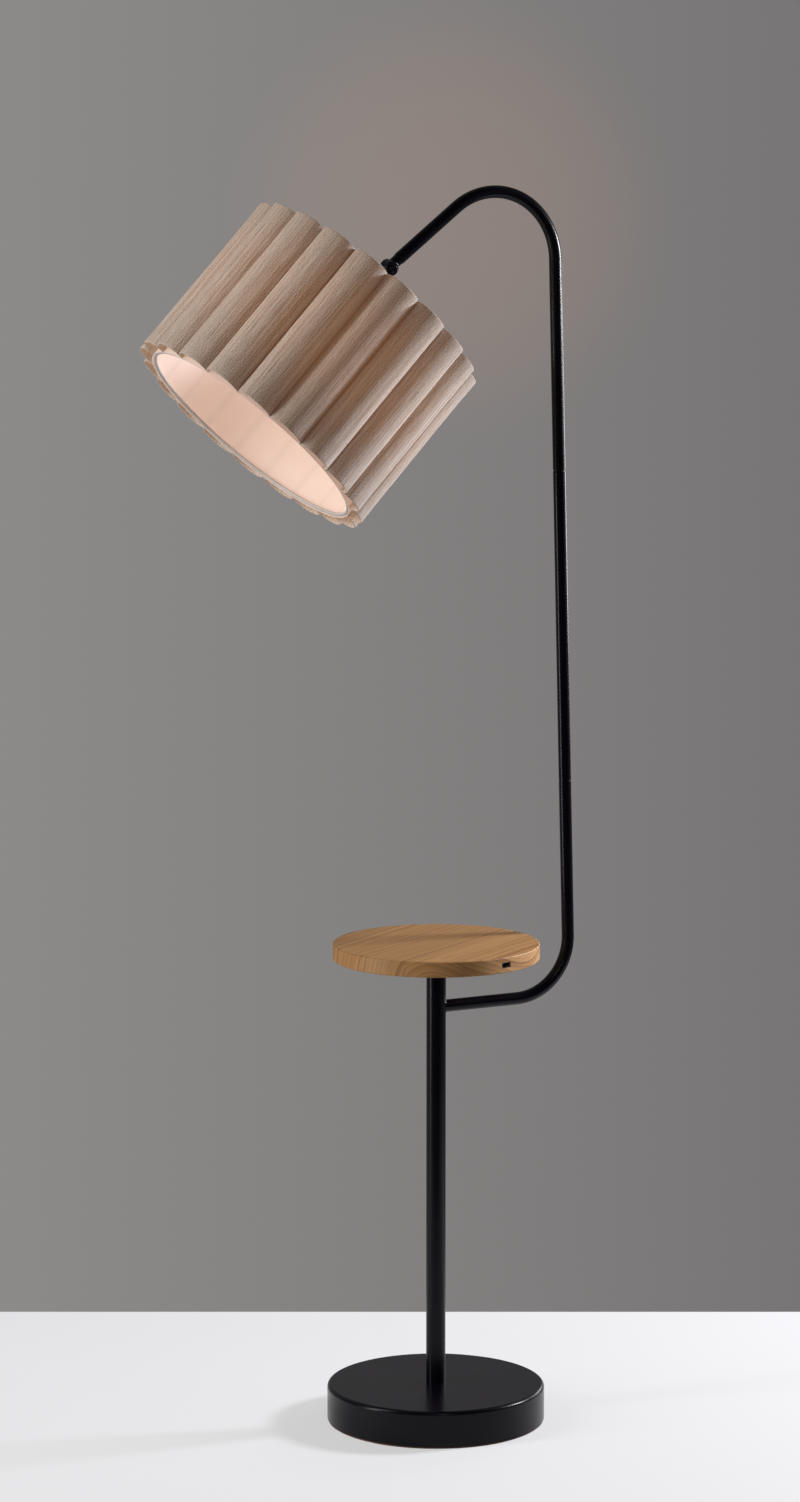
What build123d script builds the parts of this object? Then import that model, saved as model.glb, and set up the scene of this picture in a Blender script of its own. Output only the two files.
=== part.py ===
"""Floor lamp with a round wooden shelf, a hooked side arm and a fluted drum shade.

Frame: the origin is the centre of the base on the floor and +Z is up. The arm
lies in the XZ plane: it leaves the post towards +X, rises beside the shelf and
hooks back over it, so the shade hangs towards -X. All sizes are in millimetres.
"""

from build123d import *
import os
from math import cos, radians, sin, tan

# Fits
push_fit = 0.05  # radial gap of a piece that is screwed, glued or welded in
run_fit = 0.05  # radial gap of a shaft that turns
slip = 0.3  # gap of a piece that is laid in loosely
turn_gap = 0.2  # gap between faces that turn past each other

# Base: pressed shell over a cast weight
base_dia = 280.0
base_height = 48.0  # from the floor to the top of the shell
shell_wall = 1.5
shell_edge = 5.0  # rounded top edge
shell_lift = 2.5  # shadow gap under the shell
pad_thick = 4.0
pad_inset = 6.0  # the pad's edge lies this far inside the weight's
weight_gap = 1.0  # radial gap from the weight to the shell
weight_thick = 12.0
hub_dia = 64.0  # raised hub of the weight, which carries the shell
weight_round = 3.0

# Hollow threaded rod that clamps the base to the post
nipple_dia = 10.0
nipple_bore = 7.0
nipple_out = 1.5  # bare end below the nut
nut_flats = 15.0
nut_thick = 6.0
washer_dia = 26.0
washer_thick = 1.6
nut_room = 2.0  # free radius round the washer in the weight's counterbore
nut_cover = 1.9  # from the rod's end to the pad

# Cord bushing in the back of the base
bushing_waist = 11.0
bushing_flange = 15.0
bushing_lip = 2.0  # thickness of each flange
bushing_bore = 7.0

# Post
post_dia = 25.0
post_wall = 1.5
plug_thick = 12.0
wire_hole = 9.0

# Shelf
shelf_dia = 264.0
shelf_thick = 20.0
shelf_top = 625.0
shelf_round = 1.6
plate_dia = 92.0
plate_thick = 3.0
plate_screw_inset = 11.0  # from the plate's edge
plate_screw_count = 4
plate_wire_hole = 14.0
screw_dia = 4.0
screw_cover = 7.0  # wood left above the screws
screw_head_dia = 8.0
screw_head_thick = 2.4
wire_groove_wide = 8.0
wire_groove_deep = 7.0

# Charging port in the shelf's rim
port_angle = -76.0  # from +X, counter-clockwise seen from above
port_wide = 13.2
port_high = 5.8
port_long = 14.0
port_sheet = 0.3
port_setback = 1.0  # from the rim to the port's mouth
port_margin = 0.7  # wood to port, all round
tongue_wide = 11.1
tongue_thick = 1.8
tongue_raise = 1.1  # tongue's middle above the port's middle
tongue_setback = 4.2  # from the port's mouth to the tongue's tip
port_back = 2.4  # moulded block that closes the port
board_wide = 20.0
board_long = 30.0
board_thick = 1.6
pocket_wall = 4.0  # wood left between pocket and rim
board_room = 10.0  # behind the board, for its wires
board_margin = 3.0  # beside the board
pocket_roof = 4.0  # wood left above the pocket
cover_thick = 1.5
cover_lap = 6.0  # cover past the pocket on each side
cover_post_dia = 6.0
cover_screw_dia = 2.6
cover_screw_depth = 8.0
cover_head_dia = 5.0
cover_head_thick = 1.6

# Arm, three tubes screwed together
arm_dia = 16.0
arm_wall = 1.2
arm_drop = 63.0  # from the shelf's underside to the axis of the level run
arm_reach = 194.5  # where the axes of the level run and the upright cross
arm_lean = 1.54  # the loaded upright leans towards the shade
bend_r = 75.0
lower_rise = 279.5  # along the upright, from its foot to the first seam
middle_length = 400.0  # from seam to seam
upper_rise = 268.4  # from the second seam to the start of the hook
hook_r = 87.8
hook_turn = 126.15
hook_straight = 102.0
seam_gap = 1.6  # collar of the coupling, seen as a dark groove
seam_depth = 0.7
coupling_length = 56.0
coupling_bore = 7.0

# Swivel between arm and shade
bush_flange_thick = 2.0
bush_step = 0.5  # the bush's flange is this much smaller than the tube
bush_length = 18.0
stem_dia = 10.0
stem_bore = 6.0
stem_out = 3.0  # past the bush, for the clip
clip_room = 0.6  # between clip and tube
clip_thick = 1.2
neck_dia = 14.4
upper_neck = 5.6  # bare neck between arm and knuckle
lower_neck = 10.5  # neck between knuckle and lampholder
knuckle_dia = 19.0
knuckle_half = 8.0  # thickness of each half
knuckle_round = 1.6
knuckle_clear = 0.5  # radial room round the other half
head_pan = 11.6  # turn of the head about the arm's end, as photographed
head_tilt = 9.65  # bend of the knuckle, as photographed
pivot_dia = 5.0
pivot_head_dia = 10.0
pivot_head_thick = 2.6
pivot_washer_thick = 0.8
pivot_nut_flats = 8.0
pivot_nut_thick = 3.6

# Lampholder
rod_margin = 2.5  # from the knuckle's edge to the threaded rod
rod_out = 10.0  # rod inside the cap
cap_dia = 36.0
cap_length = 26.0
cap_wall = 0.8
cap_round = 8.0
holder_nut_thick = 4.0
holder_nut_flats = 14.0
shoulder_step = 3.0  # shoulder past the skirt
shoulder_thick = 3.0
skirt_wall = 5.2
skirt_length = 32.0
holder_floor = 8.0  # from the shoulder's upper face to the bottom of the bore
screw_shell_wall = 0.5
screw_shell_inset = 3.0  # from the skirt's end
thread_gap = 0.75  # from the screw shell to the bulb's cap
contact_dia = 9.0
contact_thick = 1.5
ring_nut_wall = 5.0
ring_nut_thick = 8.0
ring_nut_grips = 12
ring_nut_grip_dia = 5.0

# Turn switch on the lampholder
switch_margin = 1.0  # above and below the knob
switch_gap = 3.9  # from the lampholder to the knob
switch_shaft_dia = 3.2
switch_shaft_deep = 9.0
switch_knob_dia = 12.0
switch_knob_length = 14.0
switch_flutes = 10
switch_flute_dia = 2.0

# Bulb
bulb_cap_dia = 26.4
bulb_cap_length = 25.0
bulb_cap_taper = 5.0  # cone of the cap towards its tip
bulb_tip_dia = 7.0
bulb_tip_length = 1.6
bulb_dia = 60.0
bulb_length = 84.0  # glass only
bulb_neck = 12.0
bulb_wall = 1.0

# Shade
fitter_recess = 14.8  # from the shade's upper edge down to the fitter
shade_height = 228.6
liner_dia = 310.0
liner_thick = 0.8
flute_count = 20
flute_height = 19.4  # from the liner to the crests
flute_turn = 5.5  # of the first crest from the shade's own X
fabric_thick = 0.9
glue_gap = 0.2  # between liner and the valleys of the flutes
wire_dia = 4.6
ring_inset = 0.4  # of the wire rings from the liner's edges
spoke_dia = 4.0
spoke_count = 3
spoke_turn = 60.0  # turns the spokes clear of the switch
fitter_lap = 5.0  # fitter past the ring nut
fitter_thick = 1.5


def add_tube(plane, outer_dia, inner_dia, length):
    """Add a straight round tube or washer that stands on a plane."""
    with BuildSketch(plane) as ring:
        Circle(outer_dia / 2)
        Circle(inner_dia / 2, mode=Mode.SUBTRACT)
    extrude(ring.sketch, amount=length)


def add_hex_nut(plane, flats, inner_dia, length):
    """Add a hexagon nut that stands on a plane."""
    with BuildSketch(plane) as hexagon:
        RegularPolygon(flats / 2, 6, major_radius=False)
        Circle(inner_dia / 2, mode=Mode.SUBTRACT)
    extrude(hexagon.sketch, amount=length)


def cut_round(plane, dia, length):
    """Cut a round hole from a plane along its normal."""
    with BuildSketch(plane) as hole:
        Circle(dia / 2)
    extrude(hole.sketch, amount=length, mode=Mode.SUBTRACT)


os.makedirs("parts", exist_ok=True)

# Base shell, open underneath
shell_inner_top = base_height - shell_wall
bushing_z = (pad_thick + weight_thick + shell_inner_top) / 2
bushing_plane = Plane(
    origin=(0, base_dia / 2, bushing_z), x_dir=(1, 0, 0), z_dir=(0, 1, 0)
)
with BuildPart() as base_shell:
    with BuildSketch(Plane.XY.offset(shell_lift)):
        Circle(base_dia / 2)
    extrude(amount=base_height - shell_lift)
    fillet(base_shell.edges().group_by(Axis.Z)[-1], shell_edge)
    offset(amount=-shell_wall, openings=base_shell.faces().sort_by(Axis.Z)[0])
    with Locations((0, 0, base_height)):
        Hole(nipple_dia / 2 + slip)
    cut_round(bushing_plane.offset(-bushing_lip), bushing_waist + 2 * slip, 2 * bushing_lip)
base_shell.part.label = "base_shell"

# Cast weight with a hub that holds the shell up
weight_dia = base_dia - 2 * (shell_wall + weight_gap)
weight_under = Plane(origin=(0, 0, pad_thick), z_dir=(0, 0, -1))
counterbore_depth = nut_cover + nipple_out + nut_thick + washer_thick
with BuildPart() as base_weight:
    with BuildSketch(Plane.XY.offset(pad_thick)):
        Circle(weight_dia / 2)
    extrude(amount=weight_thick)
    fillet(base_weight.edges().group_by(Axis.Z)[-1], weight_round)
    with BuildSketch(Plane.XY.offset(pad_thick)):
        Circle(hub_dia / 2)
    extrude(amount=shell_inner_top - pad_thick)
    with Locations(weight_under):
        CounterBoreHole(nipple_dia / 2 + slip, washer_dia / 2 + nut_room, counterbore_depth)
base_weight.part.label = "base_weight"

# Felt pad that the lamp stands on
with BuildPart() as base_pad:
    with BuildSketch():
        Circle(weight_dia / 2 - pad_inset)
    extrude(amount=pad_thick)
base_pad.part.label = "base_pad"

# Washer, nut and hollow rod of the base
washer_z = pad_thick + counterbore_depth - washer_thick
nut_z = washer_z - nut_thick
rod_bottom = nut_z - nipple_out
with BuildPart() as base_washer:
    add_tube(Plane.XY.offset(washer_z), washer_dia, nipple_dia + 2 * slip, washer_thick)
base_washer.part.label = "base_washer"

with BuildPart() as base_nut:
    add_hex_nut(Plane.XY.offset(nut_z), nut_flats, nipple_dia + 2 * push_fit, nut_thick)
base_nut.part.label = "base_nut"

with BuildPart() as base_nipple:
    rod_length = base_height + plug_thick - rod_bottom
    add_tube(Plane.XY.offset(rod_bottom), nipple_dia, nipple_bore, rod_length)
base_nipple.part.label = "base_nipple"

# Rubber bushing where the cord enters
with BuildPart() as cord_bushing:
    wall_inside = bushing_plane.offset(-shell_wall - slip)
    add_tube(bushing_plane, bushing_flange, bushing_bore, bushing_lip)
    add_tube(wall_inside, bushing_waist, bushing_bore, shell_wall + slip)
    add_tube(wall_inside.offset(-bushing_lip), bushing_flange, bushing_bore, bushing_lip)
    fillet(cord_bushing.edges().filter_by(GeomType.CIRCLE).sort_by(Axis.Y)[-1], bushing_lip / 3)
cord_bushing.part.label = "cord_bushing"

# Post and the threaded plug welded into its foot
post_bore = post_dia - 2 * post_wall
shelf_under = shelf_top - shelf_thick
post_top = shelf_under - plate_thick
arm_z = shelf_under - arm_drop
with BuildPart() as post_plug:
    add_tube(
        Plane.XY.offset(base_height),
        post_bore - 2 * push_fit,
        nipple_dia + 2 * push_fit,
        plug_thick,
    )
post_plug.part.label = "post_plug"

with BuildPart() as post:
    add_tube(Plane.XY.offset(base_height), post_dia, post_bore, post_top - base_height)
    cut_round(Plane(origin=(0, 0, arm_z), z_dir=(1, 0, 0)), wire_hole, post_dia)
post.part.label = "post"

# Steel plate on the post and its wood screws, placed clear of the wire groove
plate_screw_r = plate_dia / 2 - plate_screw_inset
plate_screw_turn = port_angle + 180 / plate_screw_count
screw_depth = shelf_thick - screw_cover
with BuildPart() as shelf_plate:
    add_tube(Plane.XY.offset(post_top), plate_dia, plate_wire_hole, plate_thick)
    with Locations((0, 0, shelf_under)):
        with PolarLocations(plate_screw_r, plate_screw_count, plate_screw_turn):
            Hole(screw_dia / 2 + slip)
    chamfer(shelf_plate.edges().group_by(Axis.Z)[0].sort_by(SortBy.RADIUS)[-1], plate_thick / 3)
shelf_plate.part.label = "shelf_plate"

with BuildPart() as shelf_screws:
    with BuildSketch(Plane.XY.offset(post_top)):
        with PolarLocations(plate_screw_r, plate_screw_count, plate_screw_turn):
            Circle(screw_head_dia / 2)
    extrude(amount=-screw_head_thick)
    fillet(shelf_screws.edges().group_by(Axis.Z)[0], screw_head_thick / 3)
    with BuildSketch(Plane.XY.offset(post_top)):
        with PolarLocations(plate_screw_r, plate_screw_count, plate_screw_turn):
            Circle(screw_dia / 2)
    extrude(amount=plate_thick + screw_depth)
shelf_screws.part.label = "shelf_screws"

# Charging port: planes at the rim, looking out along the radius
port_out = Vector(cos(radians(port_angle)), sin(radians(port_angle)), 0)
port_side = Vector(0, 0, 1).cross(port_out)
port_rise = shelf_thick / 2
rim = Plane(
    origin=port_out * (shelf_dia / 2) + Vector(0, 0, shelf_under + port_rise),
    x_dir=port_side,
    z_dir=port_out,
)
port_mouth = rim.offset(-port_setback)
under_port = Plane(
    origin=port_out * (shelf_dia / 2) + Vector(0, 0, shelf_under),
    x_dir=port_out,
    z_dir=(0, 0, 1),
)
pocket_long = board_long + board_room
pocket_wide = board_wide + 2 * board_margin
pocket_middle = -pocket_wall - pocket_long / 2
pocket_deep = shelf_thick - pocket_roof
cover_long = pocket_long + pocket_wall
cover_middle = pocket_middle - pocket_wall / 2
cover_wide = pocket_wide + 2 * cover_lap
cover_screw_y = (pocket_wide + cover_lap) / 2

# Solid wooden shelf, milled from below
with BuildPart() as shelf:
    with BuildSketch(Plane.XY.offset(shelf_under)):
        Circle(shelf_dia / 2)
    extrude(amount=shelf_thick)
    fillet(shelf.edges().filter_by(GeomType.CIRCLE), shelf_round)
    with BuildSketch(rim):
        Rectangle(port_wide + 2 * port_margin, port_high + 2 * port_margin)
    extrude(amount=-pocket_wall - port_margin, mode=Mode.SUBTRACT)
    with BuildSketch(under_port):
        with Locations((pocket_middle, 0)):
            Rectangle(pocket_long, pocket_wide)
    extrude(amount=pocket_deep, mode=Mode.SUBTRACT)
    with BuildSketch(under_port):
        with Locations((cover_middle, 0)):
            Rectangle(cover_long + 2 * slip, cover_wide + 2 * slip)
    extrude(amount=cover_thick, mode=Mode.SUBTRACT)
    with BuildSketch(under_port):
        with Locations((cover_middle, cover_screw_y), (cover_middle, -cover_screw_y)):
            Circle(cover_screw_dia / 2 + push_fit)
    extrude(amount=cover_thick + cover_screw_depth, mode=Mode.SUBTRACT)
    with BuildSketch(under_port):
        with Locations(((pocket_middle - shelf_dia / 2) / 2, 0)):
            SlotCenterToCenter(shelf_dia / 2 + pocket_middle, wire_groove_wide)
    extrude(amount=wire_groove_deep, mode=Mode.SUBTRACT)
    with BuildSketch(Plane.XY.offset(shelf_under)):
        with PolarLocations(plate_screw_r, plate_screw_count, plate_screw_turn):
            Circle(screw_dia / 2 + push_fit)
    extrude(amount=screw_depth, mode=Mode.SUBTRACT)
shelf.part.label = "shelf"

# Metal shell, tongue and board of the port
with BuildPart() as usb_shell:
    with BuildSketch(port_mouth):
        Rectangle(port_wide, port_high)
        Rectangle(port_wide - 2 * port_sheet, port_high - 2 * port_sheet, mode=Mode.SUBTRACT)
    extrude(amount=-port_long)
usb_shell.part.label = "usb_shell"

with BuildPart() as usb_tongue:
    with BuildSketch(port_mouth.offset(-port_long)):
        Rectangle(
            port_wide - 2 * (port_sheet + push_fit),
            port_high - 2 * (port_sheet + push_fit),
        )
    extrude(amount=port_back)
    with BuildSketch(port_mouth.offset(-port_long + port_back)):
        with Locations((0, tongue_raise)):
            Rectangle(tongue_wide, tongue_thick)
    extrude(amount=port_long - port_back - tongue_setback)
    chamfer(usb_tongue.edges().group_by(Axis(rim.origin, rim.z_dir))[-1], tongue_thick / 4)
usb_tongue.part.label = "usb_tongue"

board_top = port_rise - port_high / 2
board_middle = -pocket_wall - slip - board_long / 2
with BuildPart() as usb_board:
    with BuildSketch(under_port.offset(board_top)):
        with Locations((board_middle, 0)):
            Rectangle(board_long, board_wide)
    extrude(amount=-board_thick)
usb_board.part.label = "usb_board"

# Cover under the pocket, with posts that carry the board, and its screws
cover_post_step = board_long - 2 * cover_post_dia
with BuildPart() as usb_cover:
    with BuildSketch(under_port):
        with Locations((cover_middle, 0)):
            Rectangle(cover_long, cover_wide)
        with Locations((cover_middle, cover_screw_y), (cover_middle, -cover_screw_y)):
            Circle(cover_screw_dia / 2 + slip, mode=Mode.SUBTRACT)
    extrude(amount=cover_thick)
    with BuildSketch(under_port.offset(cover_thick)):
        with Locations((board_middle, 0)):
            with GridLocations(cover_post_step, 0, 2, 1):
                Circle(cover_post_dia / 2)
    extrude(amount=board_top - board_thick - cover_thick)
usb_cover.part.label = "usb_cover"

with BuildPart() as usb_cover_screws:
    with BuildSketch(under_port):
        with Locations((cover_middle, cover_screw_y), (cover_middle, -cover_screw_y)):
            Circle(cover_head_dia / 2)
    extrude(amount=-cover_head_thick)
    fillet(usb_cover_screws.edges().group_by(Axis.Z)[0], cover_head_thick / 3)
    with BuildSketch(under_port):
        with Locations((cover_middle, cover_screw_y), (cover_middle, -cover_screw_y)):
            Circle(cover_screw_dia / 2)
    extrude(amount=cover_thick + cover_screw_depth)
usb_cover_screws.part.label = "usb_cover_screws"

# Arm: points along the leaning upright and the hook
arm_bore = arm_dia - 2 * arm_wall
arm_foot = Vector(arm_reach, 0, arm_z)
upright = Vector(-sin(radians(arm_lean)), 0, cos(radians(arm_lean)))
hook_corner_reach = hook_r * tan(radians(hook_turn / 2))
hook_down = upright.rotate(Axis.Y, -hook_turn)
first_seam = arm_foot + upright * lower_rise
second_seam = first_seam + upright * middle_length
hook_corner = second_seam + upright * (upper_rise + hook_corner_reach)
arm_tip = hook_corner + hook_down * (hook_corner_reach + hook_straight)
half_seam = upright * (seam_gap / 2)

with BuildPart() as lower_arm:
    with BuildLine() as lower_path:
        FilletPolyline((0, 0, arm_z), arm_foot, first_seam - half_seam, radius=bend_r)
    with BuildSketch(Plane(origin=(0, 0, arm_z), z_dir=(1, 0, 0))):
        Circle(arm_dia / 2)
        Circle(arm_bore / 2, mode=Mode.SUBTRACT)
    sweep(path=lower_path.line)
    with Locations((0, 0, arm_z)):
        Cylinder(post_dia / 2 + push_fit, post_dia * 2, mode=Mode.SUBTRACT)
lower_arm.part.label = "lower_arm"

with BuildPart() as middle_arm:
    middle_foot = Plane(origin=first_seam + half_seam, z_dir=upright)
    add_tube(middle_foot, arm_dia, arm_bore, middle_length - seam_gap)
middle_arm.part.label = "middle_arm"

with BuildPart() as upper_arm:
    with BuildLine() as upper_path:
        FilletPolyline(second_seam + half_seam, hook_corner, arm_tip, radius=hook_r)
    with BuildSketch(Plane(origin=second_seam + half_seam, z_dir=upright)):
        Circle(arm_dia / 2)
        Circle(arm_bore / 2, mode=Mode.SUBTRACT)
    sweep(path=upper_path.line)
upper_arm.part.label = "upper_arm"

# Threaded couplings with a narrow collar between the tubes
collar_dia = arm_dia - 2 * seam_depth
with BuildPart() as couplings:
    for seam in (first_seam, second_seam):
        seam_plane = Plane(origin=seam, z_dir=upright)
        add_tube(
            seam_plane.offset(-coupling_length / 2),
            arm_bore - 2 * push_fit,
            coupling_bore,
            coupling_length,
        )
        add_tube(seam_plane.offset(-seam_gap / 2), collar_dia, coupling_bore, seam_gap)
couplings.part.label = "couplings"

# Swivel planes: arm end, pivot of the knuckle and axis of the shade
arm_end = Plane(origin=arm_tip, x_dir=Vector(0, 1, 0).cross(hook_down), z_dir=hook_down)
stem = arm_end.moved(Rotation(0, 0, -head_pan))
neck_start = bush_flange_thick + turn_gap
knuckle_drop = neck_start + upper_neck + knuckle_dia / 2
knuckle = stem.offset(knuckle_drop)
head = knuckle.moved(Rotation(0, -head_tilt, 0))
head_axis = Axis(head.origin, head.z_dir)
pivot = Plane(origin=knuckle.origin, x_dir=knuckle.x_dir, z_dir=knuckle.y_dir)
half_gap = turn_gap / 2

with BuildPart() as arm_end_bush:
    bush_flange_dia = arm_dia - 2 * bush_step
    add_tube(arm_end, bush_flange_dia, stem_dia + 2 * run_fit, bush_flange_thick)
    add_tube(
        arm_end.offset(-bush_length),
        arm_bore - 2 * push_fit,
        stem_dia + 2 * run_fit,
        bush_length,
    )
arm_end_bush.part.label = "arm_end_bush"

# Upper half of the knuckle, on the far side, with the stem that turns in the arm
stem_inner = -bush_length - stem_out
with BuildPart() as swivel_upper:
    with BuildSketch(stem.offset(neck_start)):
        Circle(neck_dia / 2)
    extrude(amount=knuckle_drop - neck_start)
    with BuildSketch(pivot.offset(half_gap)):
        Circle(knuckle_dia / 2 + knuckle_clear)
    extrude(amount=-knuckle_dia, mode=Mode.SUBTRACT)
    with BuildSketch(pivot.offset(half_gap)):
        Circle(knuckle_dia / 2)
    extrude(amount=knuckle_half - half_gap)
    pivot_axis = Axis(pivot.origin, pivot.z_dir)
    fillet(swivel_upper.edges().group_by(pivot_axis)[-1], knuckle_round)
    with BuildSketch(stem.offset(stem_inner)):
        Circle(stem_dia / 2)
    extrude(amount=neck_start - stem_inner)
    cut_round(stem.offset(stem_inner), stem_bore, bush_length + stem_out)
    cut_round(pivot, pivot_dia + 2 * push_fit, knuckle_dia)
swivel_upper.part.label = "swivel_upper"

with BuildPart() as swivel_clip:
    add_tube(
        stem.offset(-bush_length - turn_gap - clip_thick),
        arm_bore - 2 * clip_room,
        stem_dia + 2 * push_fit,
        clip_thick,
    )
swivel_clip.part.label = "swivel_clip"

# Lower half of the knuckle, on the near side, screwed to the lampholder
pivot_lower = Plane(origin=head.origin, x_dir=head.x_dir, z_dir=-head.y_dir)
neck_end = knuckle_dia / 2 + lower_neck
rod_start = knuckle_dia / 2 + rod_margin
with BuildPart() as swivel_lower:
    with BuildSketch(head):
        Circle(neck_dia / 2)
    extrude(amount=neck_end)
    with BuildSketch(pivot_lower.offset(half_gap)):
        Circle(knuckle_dia / 2 + knuckle_clear)
    extrude(amount=-knuckle_dia, mode=Mode.SUBTRACT)
    with BuildSketch(pivot_lower.offset(half_gap)):
        Circle(knuckle_dia / 2)
    extrude(amount=knuckle_half - half_gap)
    lower_axis = Axis(pivot_lower.origin, pivot_lower.z_dir)
    fillet(swivel_lower.edges().group_by(lower_axis)[-1], knuckle_round)
    cut_round(head.offset(rod_start), nipple_dia + 2 * push_fit, neck_end)
    cut_round(pivot_lower, pivot_dia + 2 * run_fit, knuckle_dia)
swivel_lower.part.label = "swivel_lower"

# Pivot screw through both halves, with a spring washer and a nut
screw_seat = pivot.offset(-knuckle_half - turn_gap)
with BuildPart() as pivot_washer:
    add_tube(
        screw_seat.offset(-pivot_washer_thick),
        pivot_head_dia,
        pivot_dia + 2 * push_fit,
        pivot_washer_thick,
    )
pivot_washer.part.label = "pivot_washer"

with BuildPart() as pivot_screw:
    head_seat = screw_seat.offset(-pivot_washer_thick)
    with BuildSketch(head_seat):
        Circle(pivot_head_dia / 2)
    extrude(amount=-pivot_head_thick)
    fillet(pivot_screw.edges().group_by(pivot_axis)[0], pivot_head_thick / 3)
    with BuildSketch(head_seat):
        Circle(pivot_dia / 2)
    extrude(amount=2 * knuckle_half + turn_gap + pivot_washer_thick + pivot_nut_thick)
pivot_screw.part.label = "pivot_screw"

with BuildPart() as pivot_nut:
    add_hex_nut(
        pivot.offset(knuckle_half),
        pivot_nut_flats,
        pivot_dia + 2 * push_fit,
        pivot_nut_thick,
    )
pivot_nut.part.label = "pivot_nut"

# Lampholder: cap, hollow rod with its nut, body, screw shell and contact
cap_end = neck_end + cap_length
rod_end = neck_end + rod_out
with BuildPart() as socket_cap:
    with BuildSketch(head.offset(neck_end)):
        Circle(cap_dia / 2)
    extrude(amount=cap_length)
    fillet(socket_cap.edges().group_by(head_axis)[0], cap_round)
    offset(amount=-cap_wall, openings=socket_cap.faces().sort_by(head_axis)[-1])
    cut_round(head.offset(neck_end), nipple_dia + 2 * slip, 2 * cap_wall)
socket_cap.part.label = "socket_cap"

with BuildPart() as socket_rod:
    add_tube(head.offset(rod_start), nipple_dia, nipple_bore, rod_end - rod_start)
socket_rod.part.label = "socket_rod"

with BuildPart() as socket_nut:
    add_hex_nut(
        head.offset(neck_end + cap_wall),
        holder_nut_flats,
        nipple_dia + 2 * push_fit,
        holder_nut_thick,
    )
socket_nut.part.label = "socket_nut"

holder_dia = cap_dia - 2 * (cap_wall + push_fit)
holder_bore = bulb_cap_dia + 2 * (thread_gap + screw_shell_wall + push_fit)
skirt_dia = holder_bore + 2 * skirt_wall
shoulder_at = cap_end + switch_knob_dia + 2 * switch_margin
skirt_end = shoulder_at + shoulder_thick + skirt_length
bore_floor = shoulder_at + holder_floor
switch_at = (cap_end + shoulder_at) / 2
switch_plane = Plane(
    origin=head.from_local_coords((0, 0, switch_at)), x_dir=head.z_dir, z_dir=head.x_dir
)
switch_shaft_start = holder_dia / 2 - switch_shaft_deep
with BuildPart() as socket_body:
    with BuildSketch(head.offset(rod_end + slip)):
        Circle(holder_dia / 2)
    extrude(amount=shoulder_at - rod_end - slip)
    with BuildSketch(head.offset(shoulder_at)):
        Circle(skirt_dia / 2 + shoulder_step)
    extrude(amount=shoulder_thick)
    with BuildSketch(head.offset(shoulder_at + shoulder_thick)):
        Circle(skirt_dia / 2)
    extrude(amount=skirt_length)
    cut_round(head.offset(bore_floor), holder_bore, skirt_end - bore_floor)
    cut_round(
        switch_plane.offset(switch_shaft_start),
        switch_shaft_dia + 2 * run_fit,
        holder_dia,
    )
socket_body.part.label = "socket_body"

with BuildPart() as socket_screw_shell:
    shell_outer = holder_bore - 2 * push_fit
    add_tube(
        head.offset(bore_floor),
        shell_outer,
        shell_outer - 2 * screw_shell_wall,
        skirt_end - bore_floor - screw_shell_inset,
    )
socket_screw_shell.part.label = "socket_screw_shell"

with BuildPart() as socket_contact:
    with BuildSketch(head.offset(bore_floor)):
        Circle(contact_dia / 2)
    extrude(amount=contact_thick)
socket_contact.part.label = "socket_contact"

# Turn switch: shaft and fluted knob
switch_knob_out = holder_dia / 2 + switch_gap
knob_seat = switch_plane.offset(switch_knob_out)
knob_axis = Axis(switch_plane.origin, switch_plane.z_dir)
with BuildPart() as switch_shaft:
    with BuildSketch(switch_plane.offset(switch_shaft_start)):
        Circle(switch_shaft_dia / 2)
    extrude(amount=switch_knob_out + switch_knob_length / 2 - switch_shaft_start)
switch_shaft.part.label = "switch_shaft"

with BuildPart() as switch_knob:
    with BuildSketch(knob_seat):
        Circle(switch_knob_dia / 2)
        with PolarLocations(switch_knob_dia / 2, switch_flutes):
            Circle(switch_flute_dia / 2, mode=Mode.SUBTRACT)
    extrude(amount=switch_knob_length)
    chamfer(switch_knob.edges().group_by(knob_axis)[-1], switch_flute_dia / 4)
    cut_round(knob_seat, switch_shaft_dia + 2 * push_fit, switch_knob_length / 2)
switch_knob.part.label = "switch_knob"

# Bulb: screw cap with its tip, and the glass
tip_at = bore_floor + contact_thick
bulb_cap_at = tip_at + bulb_tip_length
glass_at = bulb_cap_at + bulb_cap_length
with BuildPart() as bulb_cap:
    with BuildSketch(head.offset(bulb_cap_at)):
        Circle(bulb_cap_dia / 2)
    extrude(amount=bulb_cap_length)
    chamfer(bulb_cap.edges().group_by(head_axis)[0], bulb_cap_taper)
    with BuildSketch(head.offset(tip_at)):
        Circle(bulb_tip_dia / 2)
    extrude(amount=bulb_tip_length)
bulb_cap.part.label = "bulb_cap"

bulb_side = Plane(origin=head.origin, x_dir=head.x_dir, z_dir=-head.y_dir)
globe_r = bulb_dia / 2
globe_at = glass_at + bulb_length - globe_r
with BuildPart() as bulb_globe:
    with BuildSketch(bulb_side):
        with BuildLine():
            crown = (0, glass_at + bulb_length)
            belly = (globe_r, globe_at)
            neck_edge = (bulb_cap_dia / 2, glass_at + bulb_neck)
            Polyline(crown, (0, glass_at), (bulb_cap_dia / 2, glass_at), neck_edge)
            TangentArc(belly, neck_edge, tangent=(0, -1))
            RadiusArc(belly, crown, -globe_r)
        make_face()
    revolve(axis=head_axis)
    offset(amount=-bulb_wall, openings=bulb_globe.faces().sort_by(head_axis)[0])
bulb_globe.part.label = "bulb_globe"

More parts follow.
